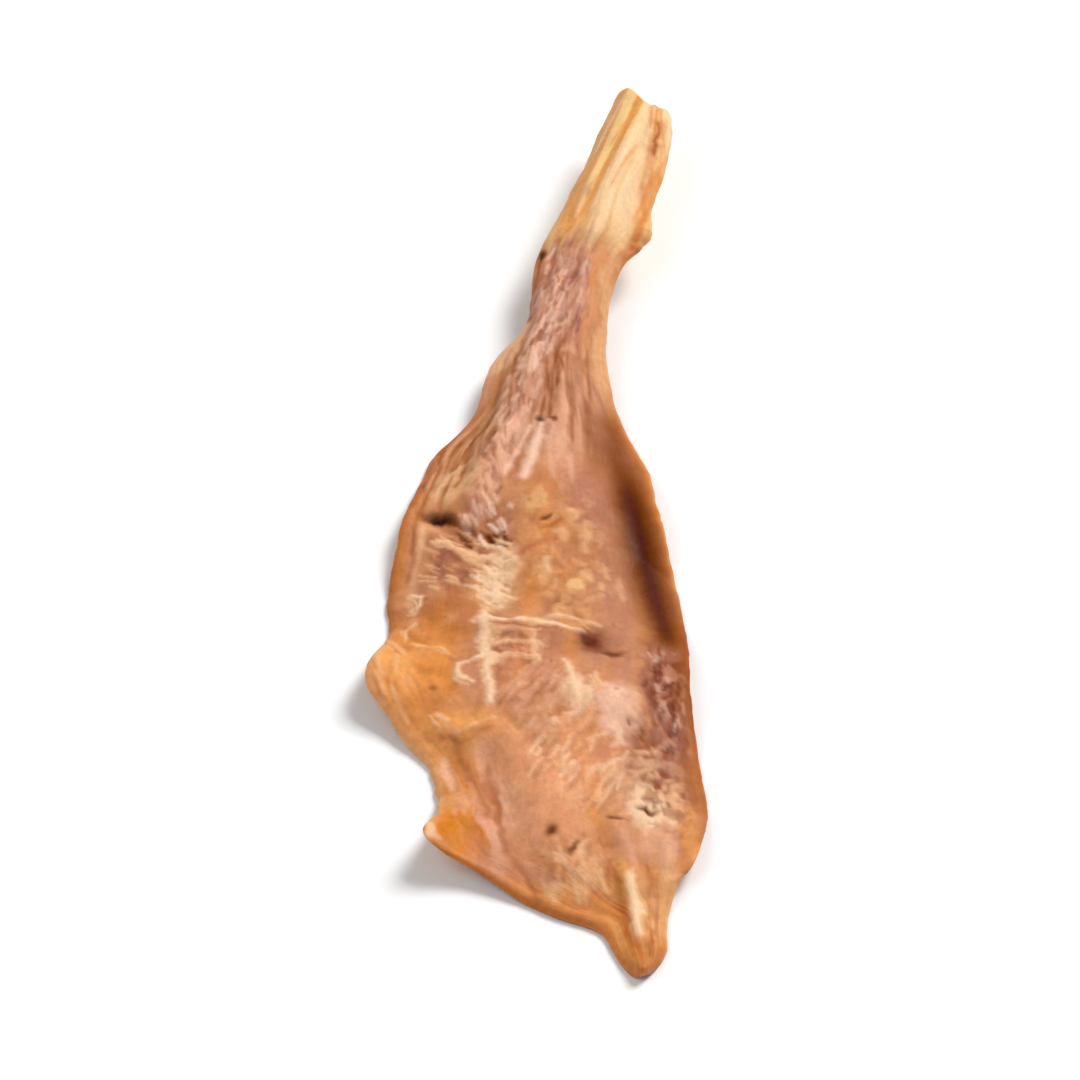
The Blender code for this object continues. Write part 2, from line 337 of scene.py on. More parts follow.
palette = {
    # screen colours from 0 to 255
    "tan": (208, 145, 104), "rose": (206, 138, 106), "clay": (186, 122, 90), "flesh": (218, 152, 118),
    "pink": (235, 180, 152), "blush": (250, 208, 184), "mauve": (158, 98, 80), "amber": (228, 150, 88),
    "honey": (240, 168, 104), "russet": (184, 108, 60), "brown": (144, 80, 44), "umber": (96, 40, 16),
    "char": (46, 20, 12), "cream": (241, 194, 152), "ivory": (250, 214, 178), "gold": (251, 209, 148),
    "straw": (229, 156, 90), "dusk": (186, 126, 108), "wheat": (234, 180, 132),
    "peach": (236, 166, 124), "troughShade": (88, 39, 10), "scarlet": (196, 96, 72), "ochre": (214, 132, 56),
}
patches = {
    # colour, area, strength, the noise that breaks it up and how far
    "belly's orange": ("amber", (2.2, -4, 4.6, 8, -10), 0.35, "cloud", 0.7),
    "belly's right": ("clay", (7.6, -1, 2.8, 11, 12), 0.6, "cloud", 0.4),
    "belly's top": ("rose", (3.2, 4.2, 4.2, 4.4, 0), 0.55, "cloud", 0.4),
    "belly's gold": ("gold", (-0.2, 2.4, 1, 1.6, -10), 0.6, "cloud", 0.4),
    "belly's low gold": ("gold", (3.9, -8.6, 1, 1, 0), 0.7, "cloud", 0.3),
    "belly's haze": ("dusk", (5.6, 2.4, 2.2, 4.6, 6), 0.6, "cloud", 0.3),
    "middle": ("rose", (-0.6, -21.5, 6.4, 5.4, 0), 0.65, "cloud", 0.4),
    "under the scraps": ("russet", (-8.8, -12.6, 3.9, 3.6, -10), 0.7, "cloud", 0.4),
    "hollow": ("mauve", (-8.6, -4.6, 3.4, 4.2, -12), 0.6, "speckle", 0.4),
    "neck": ("dusk", (2.5, 29.8, 3.5, 8.8, -14), 0.92, "fibre", 0.3),
    "neck's blush": ("pink", (2.6, 32, 3.2, 6.6, -14), 0.18, "fibre", 0.8),
    "neck's orange band": ("straw", (5.7, 31, 0.8, 7.4, -10), 0.6, "fibre", 0.4),
    "neck's right rim": ("wheat", (7.4, 27.6, 1.2, 11, -3), 0.9, "fibre", 0.3),
    "fan": ("pink", (2.6, 15, 5, 7.5, 8), 0.7, "fibre", 0.6),
    "fan's right": ("mauve", (7.2, 13, 1.7, 6, 16), 0.6, "fibre", 0.6),
    "left wing": ("russet", (-9.4, 8.6, 2.6, 8.4, -34), 0.7, "fibre", 0.5),
    "left flap": ("cream", (-3.2, 23.6, 1.8, 3.4, -30), 0.9, "cloud", 0.3),
    "wing's light": ("wheat", (-8, 5.4, 2.2, 3.4, -34), 0.7, "rim", 0.5),
    "rope": ("pink", (-2.6, 13, 1.9, 12, -17), 0.65, "cloud", 0.3),
    "lobe": ("amber", (-13, -20.4, 5.6, 8.4, 0), 1, "cloud", 0.2),
    "lobe's light": ("honey", (-14.2, -22, 2.6, 4.6, 0), 0.9, "cloud", 0.4),
    # below the lobe and below the ledge are painted lighter against the shade of the ledge and the dip:
    # painted light
    "below the lobe": ("honey", (-8.2, -30.8, 5.4, 5, -30), 1, "cloud", 0.2),
    "below the ledge": ("peach", (-2.8, -33.4, 3.4, 4.4, 20), 0.9, "cloud", 0.2),
    "notch": ("amber", (-7.6, -39.4, 3.6, 8.4, 4), 1, "fibre", 0.2),
    "corner's orange": ("ochre", (-7.2, -43.2, 3.2, 3, -20), 0.95, "cloud", 0.2),
    "beside the fold": ("pink", (-4, -39, 1.9, 8.6, 10), 0.6, "fold", 0.5),
    "low orange": ("peach", (1.6, -38.6, 3.6, 6.6, 14), 0.95, "cloud", 0.4),
    "low flesh": ("peach", (5, -34, 4.6, 6, 20), 0.7, "cloud", 0.4),
    "low blush": ("rose", (8, -31, 2.4, 5.4, 4), 0.6, "cloud", 0.4),
    # the pad and the pad's right are painted highlights on the raised pad
    "pad": ("ivory", (4, -25.8, 1.9, 2.8, -10), 0.95, "cloud", 0.3),
    "pad's right": ("blush", (8.1, -26.8, 2.3, 3.8, 0), 0.85, "cloud", 0.4),
    "right side": ("mauve", (13.4, -23.6, 3, 10.6, 4), 1, "speckle", 0.1),
    "crumbs": ("mauve", (11.2, -32.8, 3.2, 5, 10), 0.95, "cloud", 0.3),
    "crumbs' middle": ("ivory", (10.8, -39.4, 2.1, 3.2, 14), 0.95, "speckle", 0.3),
    "below the crumbs": ("pink", (11.8, -44, 2, 2.8, 10), 0.6, "cloud", 0.4),
    "right low rim": ("brown", (15.6, -31, 1.3, 8.6, 4), 0.7, "cloud", 0.3),
    "right low edge": ("honey", (15.6, -43, 1.7, 4.8, 14), 0.85, "cloud", 0.3),
    "hem": ("amber", (-0.6, -50.4, 9, 2.2, -22), 0.9, "cloud", 0.3),
    "hem's blush": ("rose", (-3.2, -46, 4.2, 2.4, -22), 0.7, "cloud", 0.4),
    "above the tip": ("flesh", (6.4, -44.8, 4.4, 2.6, -10), 0.6, "cloud", 0.6),
    "tip": ("amber", (9.6, -54, 5, 7, 0), 0.95, "fibre", 0.3),
    "tip's light": ("wheat", (12, -50.6, 2.2, 5, 0), 0.8, "fibre", 0.4),
    "tip's end": ("russet", (10.6, -59, 3, 2.4, 0), 0.6, "cloud", 0.3),
    # the tip's streak is a painted highlight along the tip's ridge
    "tip's streak": ("ivory", (9.5, -52.2, 0.85, 4.4, 5), 0.9, "fibre", 0.2),
    "tip's left": ("russet", (7.4, -49, 1, 3.4, 8), 0.6, "fibre", 0.5),
    "corner's shine": ("ivory", (-10.6, -44.6, 1.1, 1.6, 0), 0.75, "cloud", 0.2),
    "left low shine": ("blush", (-8.7, -34, 0.7, 2.4, 6), 0.7, "fibre", 0.3),
    "cord": ("gold", (8.6, 50, 6.4, 12.4, -22), 1, "fibre", 0.1),
    "cord's left": ("straw", (3.8, 42, 1.2, 5.4, -24), 0.7, "fibre", 0.5),
    # the white streak is a painted highlight
    "white streak": ("blush", (-0.4, 9.8, 0.8, 4.4, -14), 0.5, "cloud", 0),
    "fascia": ("cream", (-3.7, -7.4, 1.9, 5, -6), 0.9, "speckle", 0.3),
    "long cord": ("wheat", (-5, -16.6, 0.9, 6.6, 4), 0.7, "cloud", 0.4),
    "by the crease": ("mauve", (-5.4, -0.4, 2.6, 3, -30), 0.65, "cloud", 0.4),
}
weaves = {
    # patches of tissue: area, the noise that it follows, then the colour and share of its crests, the colour
    # and share of its gaps, and the height of the crests
    "neck": ((2.3, 30.2, 3.6, 8.6, -14), "twill", "pink", 0.5, "mauve", 0.5, 0.05),
    "upper rope": ((-1, 19, 1.7, 8, -17), "twill", "blush", 0.5, "mauve", 0.35, 0.05),
    "lower rope": ((-4.8, 6.6, 1.6, 6.2, -17), "fold", "pink", 0.5, "mauve", 0.5, 0.05),
    "left wing": ((-8.8, 8.6, 2.6, 8, -34), "rim", "cream", 0.45, "brown", 0.5, 0.08),
    "by the crease": ((-5, -1, 2.4, 2.4, -30), "flake", "pink", 0.6, "umber", 0.65, 0.07),
    "fascia": ((-4, -7.2, 2.3, 5.4, -12), "back", "ivory", 0.6, "clay", 0.3, 0.08),
    "hollow": ((-8.6, -5, 3.4, 4.6, -12), "back", "wheat", 0.35, "mauve", 0.6, 0.06),
    "long cord": ((-5, -18.2, 1, 7.6, 4), "speckle", "ivory", 0.7, "clay", 0.4, 0.07),
    "ladder": ((-2.2, -17.8, 2.8, 3.4, 0), "speckle", "pink", 0.5, "mauve", 0.55, 0.04),
    "belly": ((4, -5, 6, 9.5, -8), "flake", "wheat", 0.4, "clay", 0.35, 0.04),
    "middle": ((0.6, -25, 7, 4.6, 0), "slant", "pink", 0.4, "clay", 0.25, 0.05),
    "low middle": ((4.6, -34.6, 5.2, 7, 10), "slant", "cream", 0.32, "rose", 0.35, 0.05),
    "right side": ((13.2, -22.4, 2.4, 8.8, 4), "upright", "pink", 0.28, "umber", 0.5, 0.06),
    "crumbs": ((11.8, -36, 3.2, 7.6, 10), "flake", "cream", 0.36, "mauve", 0.5, 0.05),
    "crumbs' specks": ((12, -34.4, 3, 7.4, 10), "speckle", "cream", 0.25, "brown", 0.55, 0.03),
    "below the spots": ((3.8, -47.4, 3.8, 3.8, 0), "upright", "cream", 0.4, "mauve", 0.4, 0.05),
    "tip": ((10, -52, 4, 7, 0), "fibre", "gold", 0.3, "russet", 0.3, 0.015),
    "left of the fold": ((-5.2, -40, 2.8, 8.6, 10), "fold", "pink", 0.45, "clay", 0.5, 0.06),
}
strokeFamilies = {
    # colour, how many, area, direction (None follows the fibres), half length, half width, height, strength
    # the neck's pale flecks are painted glints
    "neck's pale flecks": ("blush", 30, (2.2, 30, 2.8, 7.8, -14), 70, 0.9, 0.26, 0.05, 0.45),
    "neck's dark flecks": ("mauve", 18, (2.2, 28.6, 2.8, 7.4, -14), 70, 1.4, 0.26, -0.06, 0.5),
    "upper rope's flecks": ("blush", 24, (-1, 19, 1.5, 8, -17), 70, 1, 0.3, 0.04, 0.5),
    "lower rope's flecks": ("pink", 20, (-4.8, 6.6, 1.4, 6, -17), 60, 0.8, 0.32, 0.03, 0.5),
    "rope's dark flecks": ("brown", 22, (-3.6, 9.6, 2, 11, -17), 72, 0.8, 0.2, -0.04, 0.45),
    "fan's pale fibres": ("pink", 16, (2, 14.5, 4.6, 6.4, 8), None, 3.8, 0.4, 0.06, 0.6),
    "fan's dark fibres": ("brown", 18, (2.2, 16, 4.8, 6, 8), None, 3.6, 0.28, -0.07, 0.5),
    "wing's dark fibres": ("brown", 14, (-8.8, 8.6, 2.4, 7.6, -34), None, 2.8, 0.26, -0.05, 0.5),
    "cord's fibres": ("ivory", 14, (8.6, 49, 4.6, 10, -22), None, 5, 0.34, 0.04, 0.55),
    "cord's orange fibres": ("straw", 20, (8.2, 48, 5, 10, -22), None, 5, 0.24, -0.04, 0.65),
    "belly's drops": ("wheat", 18, (4.4, -7, 4.6, 8, -8), 100, 0.9, 0.52, 0.06, 0.6),
    "flecks by the crease": ("umber", 14, (-5.4, -1.8, 2.8, 1.6, -30), -50, 0.75, 0.24, -0.08, 0.8),
    "pale flecks by the crease": ("blush", 18, (-5, 0.4, 2.3, 3.2, -30), -58, 0.8, 0.32, 0.06, 0.75),
    "hollow's threads": ("cream", 14, (-8.4, -4.8, 3, 4, -12), -22, 1.3, 0.2, 0.07, 0.65),
    "fascia's threads": ("ivory", 26, (-4.2, -6.6, 1.8, 4.6, -12), -28, 1.2, 0.24, 0.07, 0.8),
    "middle's dashes": ("pink", 14, (1, -26.6, 6, 3, 0), 40, 1.2, 0.3, 0.05, 0.4),
    "lower dashes": ("ivory", 26, (4, -33.6, 4.6, 5.6, 10), 58, 1.4, 0.25, 0.06, 0.45),
    "right side's pale flecks": ("blush", 20, (13.2, -21, 1.7, 9, 4), 96, 0.7, 0.24, 0.05, 0.5),
    "right side's dark flecks": ("umber", 22, (13.2, -22, 1.8, 9.6, 4), 90, 0.7, 0.26, -0.05, 0.6),
    "crumbs' dark gaps": ("brown", 16, (11.8, -34, 2.9, 7.4, 10), 110, 0.6, 0.24, -0.04, 0.65),
    "low streaks": ("cream", 16, (3.6, -47.6, 3, 3.2, 0), 100, 1.4, 0.27, 0.06, 0.6),
    "lobe's folds": ("russet", 8, (-13.6, -21, 3, 6, 0), -70, 2.6, 0.34, -0.06, 0.35),
    "lobe's shine": ("cream", 10, (-14.2, -21.4, 2.4, 5.4, 0), -68, 2, 0.3, 0.06, 0.35),
    "scattered specks": ("brown", 24, (1, -20, 13, 30, 0), 80, 0.32, 0.22, -0.03, 0.4),
}
strands = {
    # colour, the points it passes through, half width, height, strength, and for some how ragged they are
    "cross cord": (
        "ivory", [(-5.6, -13.3), (-3, -14), (-0.5, -14.4), (2.2, -15), (4.7, -15.9)], 0.36, 0.12, 0.95),
    "cross cord's branch": (
        "cream", [(-0.5, -14.2), (2.3, -13.4), (4.4, -13.8), (6.3, -14.8)], 0.28, 0.1, 0.8),
    "long cord": ("ivory", [(-5.5, -12.6), (-5.2, -17), (-4.8, -21), (-4.6, -26)], 0.5, 0.12, 0.9),
    "long cord's fork": (
        "ivory", [(-5.6, -19.4), (-7.7, -20.6), (-8, -22.4), (-6.4, -23.2)], 0.32, 0.13, 0.9),
    "rung": ("cream", [(-5, -15.8), (-2.4, -15.5), (0.2, -15.9)], 0.32, 0.06, 0.8),
    "second rung": ("cream", [(-5, -17.6), (-2.6, -17.3), (0.2, -17.7)], 0.34, 0.06, 0.8),
    "third rung": ("cream", [(-4.6, -19.4), (-2.2, -19.2), (0.2, -19.6)], 0.3, 0.06, 0.8),
    "upright": ("cream", [(-0.1, -14.2), (-0.3, -17.4), (0, -20.6)], 0.28, 0.08, 0.8),
    "arc in the amber": ("cream", [(-12.6, -16.6), (-9.8, -17.6), (-7.9, -19.4)], 0.2, 0.05, 0.6),
    "ledge": (
        "cream", [(-10.2, -26.6), (-9.2, -28.6), (-8, -29.4), (-5.7, -28.8), (-4.1, -28.3)],
        0.26, 0.07, 0.75, 1.5),
    "edge of the hollow": ("cream", [(-10.2, -2.2), (-8, -3.4), (-6, -4.4), (-4.2, -4)], 0.34, 0.12, 0.9),
    "rim scrap": ("ivory", [(-12.8, -8.8), (-11.8, -9.2), (-11.7, -10.4), (-12.8, -11.2)], 0.24, 0.14, 0.9),
    "second rim scrap": ("cream", [(-12.4, -12.8), (-13.4, -13.8), (-13.1, -15.4)], 0.22, 0.1, 0.8),
    # the white streak is a painted highlight
    "white streak": ("blush", [(0.7, 13.6), (-0.3, 9.8), (-1.2, 5.6)], 0.58, 0.1, 0.95, 0.15),
    "white streak's left": ("blush", [(-0.8, 12.8), (-2.1, 9.2), (-3.3, 6.2)], 0.34, 0.05, 0.6, 0.4),
    "belly's dash": ("cream", [(1, -5.2), (1.1, -7)], 0.4, 0.06, 0.8, 0.4),
    "belly's right dash": ("cream", [(8.2, -7.6), (8.6, -9.8)], 0.5, 0.06, 0.7, 0.5),
    "red stroke": ("scarlet", [(-1.8, -4.6), (0.2, -3.2), (1.8, -2.6)], 0.4, -0.04, 0.55, 0.8),
    "wing's arc": ("cream", [(-10.6, 4.4), (-8.8, 7.4), (-6.8, 8.6)], 0.34, 0.1, 0.75, 0.8),
    "wing's second arc": ("wheat", [(-8.8, 3.2), (-7.4, 5), (-6, 6.2)], 0.4, 0.1, 0.7, 0.8),
    "pad's ray": ("ivory", [(2.9, -20.2), (3.5, -22.9), (4.1, -26)], 0.45, 0.06, 0.8, 0.8),
    "pad's second ray": ("cream", [(5.5, -21.9), (6.3, -23.9)], 0.34, 0.05, 0.8),
    "pad's right ray": ("blush", [(7.1, -27.2), (8.3, -31.2)], 0.45, 0.04, 0.6, 0.8),
    # the tip's streak is a painted highlight along the tip's ridge
    "tip's streak": ("ivory", [(9.1, -48.8), (9.5, -52), (9.9, -55.6)], 0.5, 0.12, 0.85, 0.2),
    "neck's left edge": ("cream", [(-0.4, 31.6), (-1.2, 28.2)], 0.3, 0.08, 0.7),
}
# each crease is painted darker along its line, with a wider russet beside it: painted shade in the crease
creases = {
    # the points it passes through, half width, depth, colour and strength
    "under the wing": ([(-11.4, 1.5), (-9.8, 1.1), (-8, 0.1), (-6.6, -1)], 0.48, 0.42, "char", 0.95),
    "inside the left rim": ([(-9, 13.6), (-11.2, 6.4), (-12.4, -1), (-13, -7)], 0.3, 0.16, "brown", 0.55),
    "under the ledge": ([(-9.4, -29.4), (-7.6, -30.4), (-4.6, -29.6)], 0.3, 0.06, "clay", 0.4),
    "in the fold": ([(-4.6, -34), (-3.9, -40), (-2.2, -46), (0.2, -50.6)], 0.45, 0.14, "clay", 0.8),
    "left of the fold": ([(-8, -30.4), (-6.4, -35.2), (-4.8, -40.4)], 0.45, 0.12, "clay", 0.75),
    "below the cross cord": ([(-5, -14.6), (-1.8, -15.2), (2, -15.8)], 0.26, 0.08, "mauve", 0.55),
    "the cord's groove": ([(12.9, 54), (11.8, 46.6), (10.4, 39), (8.6, 33.4)], 0.42, 0.1, "amber", 0.85),
    "the groove's dark top": ([(12.9, 54.4), (12.3, 50)], 0.22, 0.05, "brown", 0.7),
    "between the ropes": ([(2.4, 24.4), (1.5, 20.7), (-0.1, 14.9)], 0.36, 0.16, "brown", 0.6),
    "left of the rope": (
        [(-1.6, 24.2), (-3.3, 18.8), (-4.9, 13.6), (-6.8, 9.2), (-8, 5.5)], 0.36, 0.16, "brown", 0.5),
    "left of the fan": ([(2.6, 22), (1.6, 16), (0.6, 12)], 0.34, 0.12, "brown", 0.55),
    "fan's valley": ([(3.6, 22), (3.6, 16), (3.2, 9)], 0.36, 0.12, "brown", 0.45),
    "fan's right valley": ([(4.8, 22), (5.8, 15), (6.6, 8)], 0.36, 0.12, "brown", 0.5),
    "neck's left edge": ([(0.4, 36.4), (-0.4, 32), (-0.9, 27.6)], 0.3, 0.12, "brown", 0.6),
    "tip's left line": ([(7.6, -48), (8.2, -52), (9, -57)], 0.3, 0.05, "russet", 0.7),
    "tip's right line": ([(10.7, -47), (11.2, -52), (10.9, -58)], 0.3, 0.05, "russet", 0.6),
}
spots = {
    # area, depth, colour, strength
    "dark spot's stain": ((5.8, -17.4, 2.1, 2.4, 12), 0.08, "mauve", 0.9),
    "dark spot": ((5.4, -17, 1.3, 1.9, 12), 0.2, "umber", 0.9),
    "beside the dark spot": ((7.8, -18.6, 1.2, 0.6, 10), 0.12, "umber", 0.75),
    # the crease's black is painted shade in the pit at the crease
    "crease's black": ((-9.6, 0.9, 1.5, 0.8, -14), 0.25, "char", 0.95),
    "low spot": ((1.5, -43, 0.85, 0.7, 0), 0.14, "umber", 0.85),
    "low spot's neighbour": ((3.3, -45, 0.9, 0.5, 60), 0.14, "umber", 0.75),
    "dark crumb": ((10.8, -39.6, 1.1, 0.34, -14), 0.12, "umber", 0.85),
    "dark crumb's neighbour": ((7.8, -41, 1, 0.34, -10), 0.1, "umber", 0.7),
    "speck in the amber": ((-10.6, -23.6, 0.45, 0.4, 0), 0.06, "brown", 0.6),
    "dot at the fan": ((0.5, 13.6, 0.5, 0.4, 0), 0.12, "umber", 0.85),
    "second dot at the fan": ((1.6, 13.9, 0.4, 0.35, 0), 0.12, "umber", 0.8),
    "dot at the neck": ((0.5, 36.4, 0.5, 0.6, 0), 0.12, "umber", 0.85),
    "mark on the cord": ((5.2, 43.4, 0.3, 1.2, -24), 0.06, "clay", 0.5),
    "under the scrap": ((10.6, 37.2, 0.8, 0.5, -30), 0.1, "russet", 0.85),
    "red nick": ((1.8, -1, 1, 0.3, 30), 0.06, "russet", 0.7),
    "red nick's dot": ((1, 0.2, 0.4, 0.35, 0), 0.1, "umber", 0.8),
}
trough = {
    # the painted shade inside the right rim: its path, how far its calm and its two shades reach, their
    # strengths and where the narrow one begins; then how much it takes of the relief, the shading and what is
    # grown
    "line": [(8, 14), (8.4, 10.2), (9.5, 4.6), (10.2, 0), (11.5, -6), (12.7, -11.8), (13.8, -15)],
    "calm": 3.4, "wide": 2.5, "wideShade": 0.95, "narrow": 1.7, "narrowShade": 0.96, "narrowZone": (13, 3),
    "reliefLost": 0.8, "shadingLost": 0.9, "grownLost": 0.85,
}
rimShades = [
    # rim, colour, strength, distance from the rim, spread, where it begins and ends, how far clouds break it
    ("left", "russet", 0.65, 0, 1.5, (21, 14), (-15.5, -12), 0),
    # a pale line in from the left rim, broken by clouds: painted highlight
    ("left", "cream", 0.65, 2.4, 0.5, (21, 14), (-15.5, -12), 1),
    ("left", "wheat", 0.7, 0, 0.7, (-15.5, -17.5), (-44, -38), 0),
    ("left", "russet", 0.6, 0, 0.8, (-45, -48), (-56, -52), 0),
    ("right", "russet", 0.8, 0, 1.2, (20, 14), (-48, -40), 0),
    ("right", "brown", 0.7, 0, 1.3, (-2, -9), (-30, -24), 0),
    # a honey line along the right rim: painted highlight
    ("right", "honey", 0.55, 0, 0.55, (20, 14), (-16, -6), 0),
]
rimRelief = {
    # a bead along each rim: height, distance from it, spread and where it begins; then small waves along it:
    # height, length, seed and reach inwards
    "left": (0.16, 1, 0.9, (26, 18), 0.14, 1.5, 28, 2.2),
    "right": (0.14, 0.8, 0.7, (24, 16), 0.12, 1.7, 29, 1.8),
}
tissues = {
    # the way that it runs in degrees, its length and width in millimetres, seed and layers
    "cloud": (37, 2.6, 2.6, 62, 3),
    "speckle": (37, 0.8, 0.8, 61, 2),
    "flake": (37, 1.3, 1, 69, 3),
    "twill": (69, 2.8, 0.55, 66, 2),
    "slant": (58, 2, 0.5, 67, 2),
    "upright": (0, 0.5, 1.5, 68, 3),
    "fold": (-75, 5, 0.6, 70, 2),
    "back": (-35, 1.3, 0.7, 73, 3),
}
fibreFields = {
    # how fine it is across and along the fibres, seed and layers
    "bands": (0.28, 0.02, 22, 2),
    "threads": (0.9, 0.08, 23, 2),
    "ribs": (0.5, 0.02, 24, 1),
    "streaks": (0.42, 0.11, 25, 3),
}
fieldRelief = [
    # part of the strip, field and height
    ("cord", "bands", 0.3), ("cord", "threads", 0.05), ("neck", "bands", 0.24), ("neck", "threads", 0.05),
    ("fan", "ribs", 0.24), ("fan", "threads", 0.04), ("blade", "lumps", 0.2), ("blade", "threads", 0.03),
    ("all", "grain", 0.015),
]
# washes: part of the strip, colour, strength, field, 1 for its crests or -1 for its gaps, from where to where
streakWashes = [
    ("calm blade", "amber", 0.7, "streaks", 1, (0, 0.5)),
    ("upper blade", "dusk", 0.55, "streaks", -1, (0, 0.5)),
    ("lower blade", "pink", 0.45, "streaks", -1, (0, 0.5)),
]
bandWashes = [
    ("cord", "gold", 0.9, "even", 1, (0, 1)),
    ("cord", "straw", 0.85, "bands", -1, (0.02, 0.32)),
    ("cord", "ivory", 0.55, "bands", 1, (0.05, 0.4)),
    ("fan", "pink", 0.5, "ribs", 1, (0.05, 0.5)),
    ("fan", "brown", 0.4, "ribs", -1, (0.05, 0.5)),
]
# painted shade in the valleys of the relief and painted highlights on its crests
shadeAndHighlightWashes = [
    ("all", "umber", 0.25, "rise", -1, (0.03, 0.3)),
    ("all", "brown", 0.35, "rise", -1, (0, 0.14)),
    ("all", "cream", 0.35, "rise", 1, (0, 0.16)),
]
undersideWashes = [
    ("all", "amber", 1, "cloud", 1, (-0.1, 0.4)),
    ("all", "mauve", 0.6, "cloud", -1, (0.1, 0.5)),
    ("cord", "gold", 0.9, "even", 1, (0, 1)),
    ("all", "umber", 0.5, "threads", -1, (0.1, 0.6)),
    ("all", "cream", 0.4, "threads", 1, (0.2, 0.6)),
]
wander = {
    # how far an edge strays with the noise, in millimetres
    "tissue": 0.6, "patch": 1.2, "weave": 1.4, "strand": 0.45, "thread": 0.6, "spot": 0.7, "trough": 0.3,
}
strandForm = {
    # seed and size of the unevenness, its share of width and strength; the thread beside a strand, its offset
    "firstSeed": 150, "unevenSize": 0.9, "width": (0.9, 0.45), "strength": (0.95, 0.8), "least": 0.3,
    "threadShare": 0.7, "threadWidth": 0.6, "threadOffset": (0.25, 0.3),
}
undersideForm = {
    # count and height of the threads, height of the lumps, and how far the threads drift
    "count": 24.0, "threads": 0.14, "lumps": 0.08, "drift": 1.2, "cordZone": (34.0, 42.0),
}
strokeForm = {
    # seed, then the spread of places, sizes, leans in degrees, bends, forces and widths; on fibres the lean is
    # divided
    "firstSeed": 300, "places": (0, 1.15), "sizes": (0.55, 1.35), "lean": 12, "onFibres": 3, "bend": 0.16,
    "force": 0.85, "forceSpread": 0.2, "widths": (0.7, 1.25), "blunt": 0.35, "strength": 1.1,
    "spareWidths": 4, "spareRows": 12,  # how much more than its own length a stroke's rows cover
}


def fromScreen(colour):
    # screen values from 0 to 255 as linear light
    share = np.array(colour) / 255.0
    return np.where(share <= 0.04045, share / 12.92, ((share + 0.055) / 1.055) ** 2.4)


def paint(skin, name, share):
    # lays a named colour over what is there, as far as the share says
    share = np.clip(share, 0.0, 1.0)[..., None]
    skin["colour"] = skin["colour"] + share * (fromScreen(palette[name]) - skin["colour"])


def nearPath(x, y, points):
    # distance to the nearest place on a path of straight runs
    nearest = np.full(x.shape, 1e3)
    for start, end in zip(points[:-1], points[1:]):
        _, aside, pastEnd = acrossLine(x, y, start, end)
        nearest = np.minimum(nearest, np.hypot(aside, pastEnd))
    return nearest


def turned(x, y, turn):
    # coordinates along axes turned by some degrees
    sine, cosine = math.sin(math.radians(turn)), math.cos(math.radians(turn))
    return x * cosine + y * sine, -x * sine + y * cosine


def insidePatch(place, area, soft=0.45):
    # 1 in the middle of a turned ellipse, falling to 0 a little outside its rim
    centreX, centreY, halfAcross, halfAlong, turn = area
    u, v = turned(place[0] - centreX, place[1] - centreY, turn)
    return 1 - levelStep(1 - soft, 1 + 0.6 * soft, np.hypot(u / halfAcross, v / halfAlong))


def blurred(values, rows, columns):
    # the mean over a window that reaches so many rows and columns each way, taken twice
    for axis, reach in ((0, rows), (1, columns), (0, rows), (1, columns)):
        spread = [(reach + 1, reach) if number == axis else (0, 0) for number in (0, 1)]
        total = np.moveaxis(np.cumsum(np.pad(values, spread, mode="edge"), axis=axis), axis, 0)
        mean = (total[2 * reach + 1:] - total[:-2 * reach - 1]) / (2 * reach + 1)
        values = np.moveaxis(mean, 0, axis)
    return values


def drawStrokes(skin, x, y):
    # short tapered strokes at seeded places; each works on the rows that it can reach
    f = strokeForm
    rowLow = y.min(axis=1)
    painted = []
    for number, family in enumerate(strokeFamilies.values()):
        name, count, area, direction, halfLength, halfWidth, rise, strength = family
        centreX, centreY, halfAcross, halfAlong, turn = area
        random = np.random.default_rng(f["firstSeed"] + number)
        around, out = random.uniform(0, 2 * np.pi, count), np.sqrt(random.uniform(*f["places"], count))
        awayX, awayY = turned(halfAcross * out * np.cos(around), halfAlong * out * np.sin(around), -turn)
        cover = np.zeros(x.shape)
        for px, py in zip(centreX + awayX, centreY + awayY):
            size, lean = random.uniform(*f["sizes"]), random.normal(0, f["lean"])
            bend, force = random.normal((0, f["force"]), (f["bend"], f["forceSpread"]))
            if direction is None:
                row, column = np.unravel_index(np.argmin((x - px) ** 2 + (y - py) ** 2), x.shape)
                row = min(row, len(x) - 2)
                stepX, stepY = x[row + 1, column] - x[row, column], y[row + 1, column] - y[row, column]
                way = math.degrees(math.atan2(stepY, stepX))
                lean = lean / f["onFibres"]
            else:
                way = direction
            length, width = halfLength * size, halfWidth * random.uniform(*f["widths"])
            reach = length + f["spareWidths"] * halfWidth
            rows = slice(*np.searchsorted(-rowLow, (-py - reach, -py + reach)))
            rows = slice(max(rows.start - f["spareRows"], 0), rows.stop + f["spareRows"])
            s, a = turned(x[rows] - px, y[rows] - py, way + lean)
            body = np.clip(1 - (s / length) ** 2, 0, 1)
            a = a + bend * width * 4 * (s / length) ** 2 * (body > 0)
            taper = width * (f["blunt"] + (1 - f["blunt"]) * np.sqrt(body))
            cover[rows] = np.maximum(cover[rows], force * hill(a, 0.0, taper) * levelStep(0.0, 0.6, body))
        skin["height"] += rise * cover
        painted.append((name, f["strength"] * strength * cover))
    return painted


def tissueNoise(x, y, weft, lengthwise, toLeft):
    # fields from about -1 to 1, each stretched the way that its tissue runs
    made = {}
    for kind, (way, length, width, seed, layers) in tissues.items():
        ahead, aside = turned(x, y, way)
        made[kind] = layeredNoise(ahead / length, aside / width, seed, layers)
    made["fibre"] = layeredNoise(weft * 0.5, lengthwise * 0.05, 64, 2)
    made["rim"] = layeredNoise(toLeft / 0.55, lengthwise / 7.0, 63, 2)
    return made


